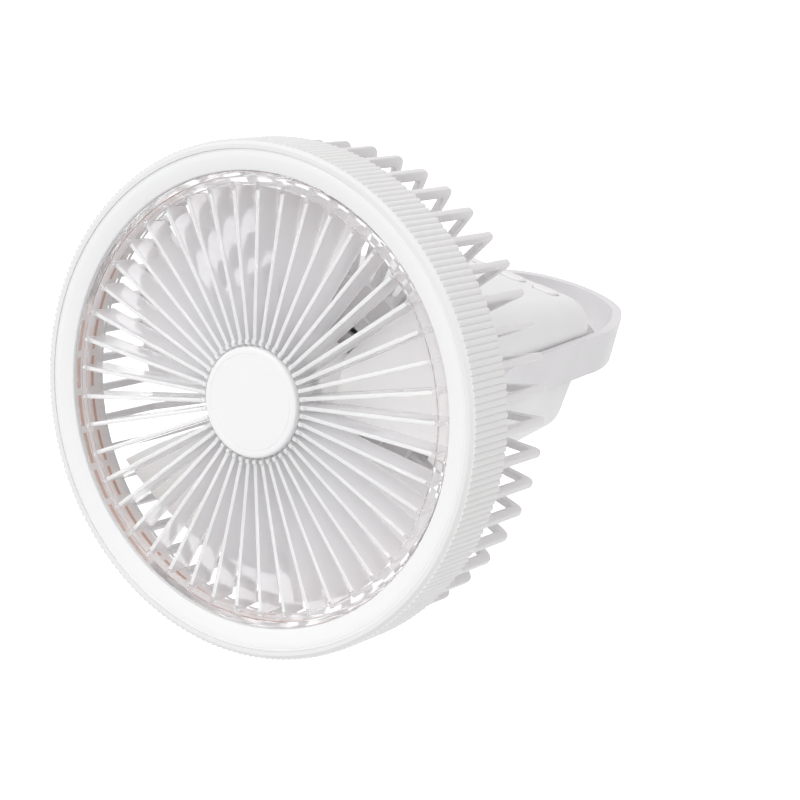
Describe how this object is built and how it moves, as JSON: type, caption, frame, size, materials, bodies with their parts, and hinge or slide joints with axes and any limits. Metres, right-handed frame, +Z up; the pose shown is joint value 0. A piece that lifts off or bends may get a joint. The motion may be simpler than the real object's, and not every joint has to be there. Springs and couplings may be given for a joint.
{
  "type": "portable camping fan",
  "caption": "Portable camping fan with a knurled ring light, clear blade grille, barred rear guard, battery housing with two buttons and a folding loop handle.",
  "frame": {"origin": "centre of the mouth of the quarter inch tripod socket in the underside of the housing", "axes": "+Z up, the fan's axis along Y with its front facing -Y, +X to the fan's left hand as it faces forward"},
  "size_m": [0.15, 0.1955, 0.15],
  "materials": {
    "white_shell": "fine satin moulding",
    "white_diffuser": "smooth translucent white",
    "clear_plastic": "clear polycarbonate",
    "pale_plastic": "satin moulding",
    "impeller_plastic": "semi-translucent grey white",
    "flex_strip": "amber film with copper edges",
    "board_laminate": "solder mask",
    "led_white": "phosphor",
    "chip_black": "moulded epoxy",
    "steel": "turned steel",
    "magnet": "sintered ferrite",
    "copper_wire": "enamelled copper",
    "brass": "turned brass",
    "cell_can": "wrapped battery can",
    "washer_nylon": "nylon"
  },
  "bodies": {
    "housing": {"grip_band": "white_shell", "light_diffuser": "white_diffuser", "ring_frame": "white_shell", "led_board": "board_laminate", "leds": "led_white", "led_flex_strip": "flex_strip", "front_grille": "clear_plastic", "centre_cap": "white_diffuser", "stator_core": "steel", "stator_windings": "copper_wire", "front_bearing": "steel", "rear_bearing": "steel", "motor_board": "board_laminate", "motor_mount": "pale_plastic", "motor_screws": "steel", "guard_bars": "pale_plastic", "rear_guard": "pale_plastic", "guard_screws": "steel", "upper_shell": "white_shell", "lower_shell": "white_shell", "shell_screws": "steel", "tripod_insert": "brass", "battery_cells": "cell_can", "battery_tray": "pale_plastic", "control_board": "board_laminate", "board_chips": "chip_black", "button_switches": "chip_black", "charge_light_guide": "clear_plastic", "charging_socket": "steel", "motor_wires": "copper_wire", "pivot_pin_left": "steel", "pivot_pin_right": "steel", "friction_washer_left": "washer_nylon", "friction_washer_right": "washer_nylon"},
    "impeller_wheel": {"impeller": "impeller_plastic", "retaining_nut": "steel", "rotor_yoke": "steel", "rotor_magnet": "magnet", "motor_shaft": "steel"},
    "handle": {"handle_loop": "pale_plastic"},
    "power_button": {"power_button": "white_shell"},
    "light_button": {"light_button": "white_shell"}
  },
  "joints": [
    {"name": "impeller_spin", "type": "hinge", "parent": "housing", "child": "impeller_wheel", "pos_m": [0, -0.07, 0.028], "axis": [0, 1, 0], "continuous": true},
    {"name": "handle_fold", "type": "hinge", "parent": "housing", "child": "handle", "pos_m": [0, -0.034, 0.0351], "axis": [-1, 0, 0], "range_deg": [0, 90]},
    {"name": "power_press", "type": "slide", "parent": "housing", "child": "power_button", "axis": [0, 0, -1], "range_m": [0, 0.0008], "stiffness_N_per_m": 400, "springref_m": -0.001},
    {"name": "light_press", "type": "slide", "parent": "housing", "child": "light_button", "axis": [0, 0, -1], "range_m": [0, 0.0008], "stiffness_N_per_m": 400, "springref_m": -0.001}
  ]
}
